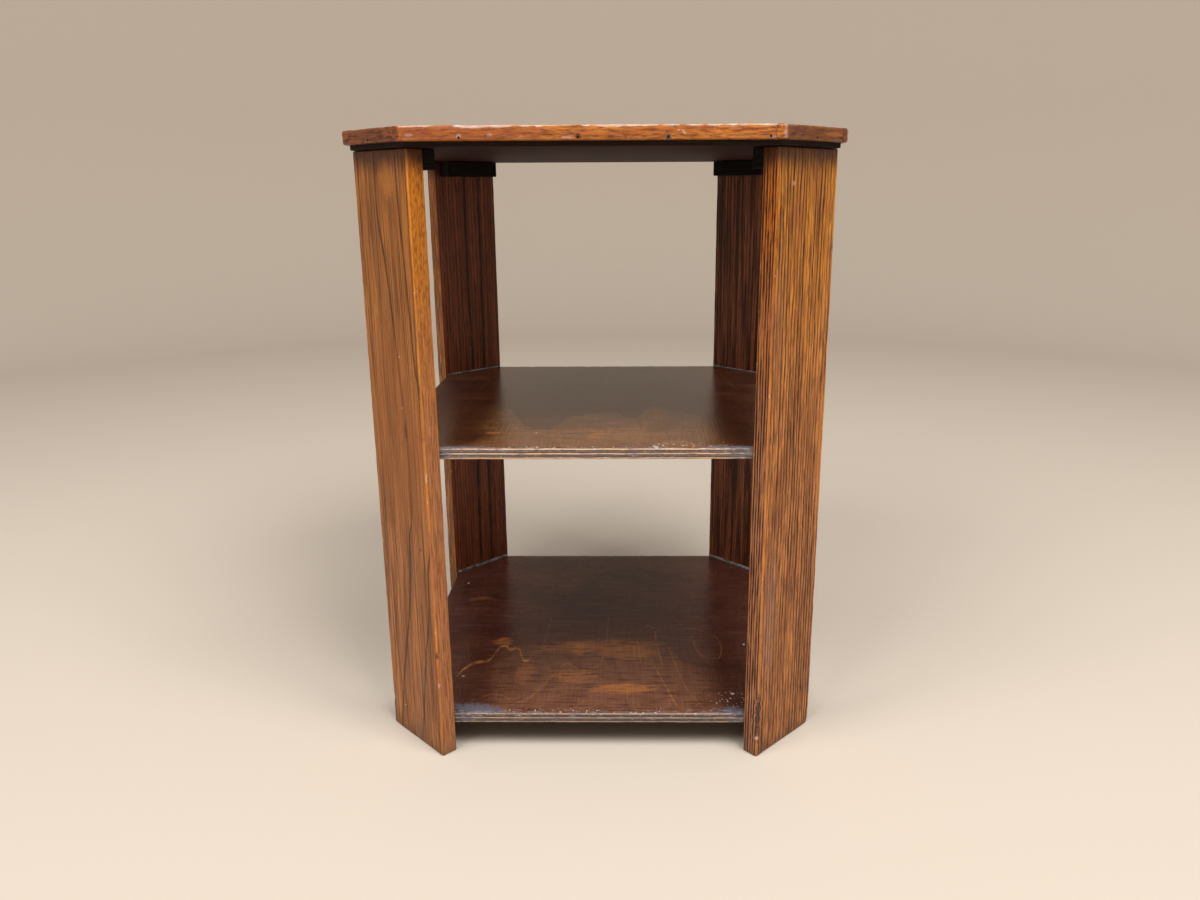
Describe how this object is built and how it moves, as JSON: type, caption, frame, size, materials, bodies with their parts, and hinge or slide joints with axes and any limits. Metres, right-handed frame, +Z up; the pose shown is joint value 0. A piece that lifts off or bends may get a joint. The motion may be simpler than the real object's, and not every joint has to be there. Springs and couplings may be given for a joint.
{
  "type": "book table",
  "caption": "Square oak book table with cut corners, board legs set across the corners and open plywood shelves below the top for books.",
  "frame": {"origin": "on the floor, under the middle of the top", "axes": "+Z up along the legs, +X to the right and -Y towards the viewer of the picture, both square to the long sides of the top"},
  "size_m": [0.461, 0.461, 0.61],
  "materials": {
    "top_plywood": "satin",
    "lipping_oak": "satin",
    "leg_oak": "satin",
    "shelf_plywood": "satin",
    "cleat_softwood": "matte",
    "dowel_beech": "matte",
    "screw_steel": "brushed"
  },
  "bodies": {
    "root": {"top_panel": "top_plywood", "lipping_front": "lipping_oak", "lipping_front_right": "lipping_oak", "lipping_right": "lipping_oak", "lipping_back_right": "lipping_oak", "lipping_back": "lipping_oak", "lipping_back_left": "lipping_oak", "lipping_left": "lipping_oak", "lipping_front_left": "lipping_oak", "leg_front_right": "leg_oak", "leg_back_right": "leg_oak", "leg_back_left": "leg_oak", "leg_front_left": "leg_oak", "middle_shelf": "shelf_plywood", "bottom_shelf": "shelf_plywood", "cleat_front_right": "cleat_softwood", "cleat_back_right": "cleat_softwood", "cleat_back_left": "cleat_softwood", "cleat_front_left": "cleat_softwood", "bottom_shelf_dowel_front_right_a": "dowel_beech", "bottom_shelf_dowel_front_right_b": "dowel_beech", "bottom_shelf_dowel_back_right_a": "dowel_beech", "bottom_shelf_dowel_back_right_b": "dowel_beech", "bottom_shelf_dowel_back_left_a": "dowel_beech", "bottom_shelf_dowel_back_left_b": "dowel_beech", "bottom_shelf_dowel_front_left_a": "dowel_beech", "bottom_shelf_dowel_front_left_b": "dowel_beech", "middle_shelf_dowel_front_right_a": "dowel_beech", "middle_shelf_dowel_front_right_b": "dowel_beech", "middle_shelf_dowel_back_right_a": "dowel_beech", "middle_shelf_dowel_back_right_b": "dowel_beech", "middle_shelf_dowel_back_left_a": "dowel_beech", "middle_shelf_dowel_back_left_b": "dowel_beech", "middle_shelf_dowel_front_left_a": "dowel_beech", "middle_shelf_dowel_front_left_b": "dowel_beech", "leg_screw_front_right_a": "screw_steel", "leg_screw_front_right_b": "screw_steel", "leg_screw_back_right_a": "screw_steel", "leg_screw_back_right_b": "screw_steel", "leg_screw_back_left_a": "screw_steel", "leg_screw_back_left_b": "screw_steel", "leg_screw_front_left_a": "screw_steel", "leg_screw_front_left_b": "screw_steel", "top_screw_front_right_a": "screw_steel", "top_screw_front_right_b": "screw_steel", "top_screw_back_right_a": "screw_steel", "top_screw_back_right_b": "screw_steel", "top_screw_back_left_a": "screw_steel", "top_screw_back_left_b": "screw_steel", "top_screw_front_left_a": "screw_steel", "top_screw_front_left_b": "screw_steel"}
  },
  "joints": []
}
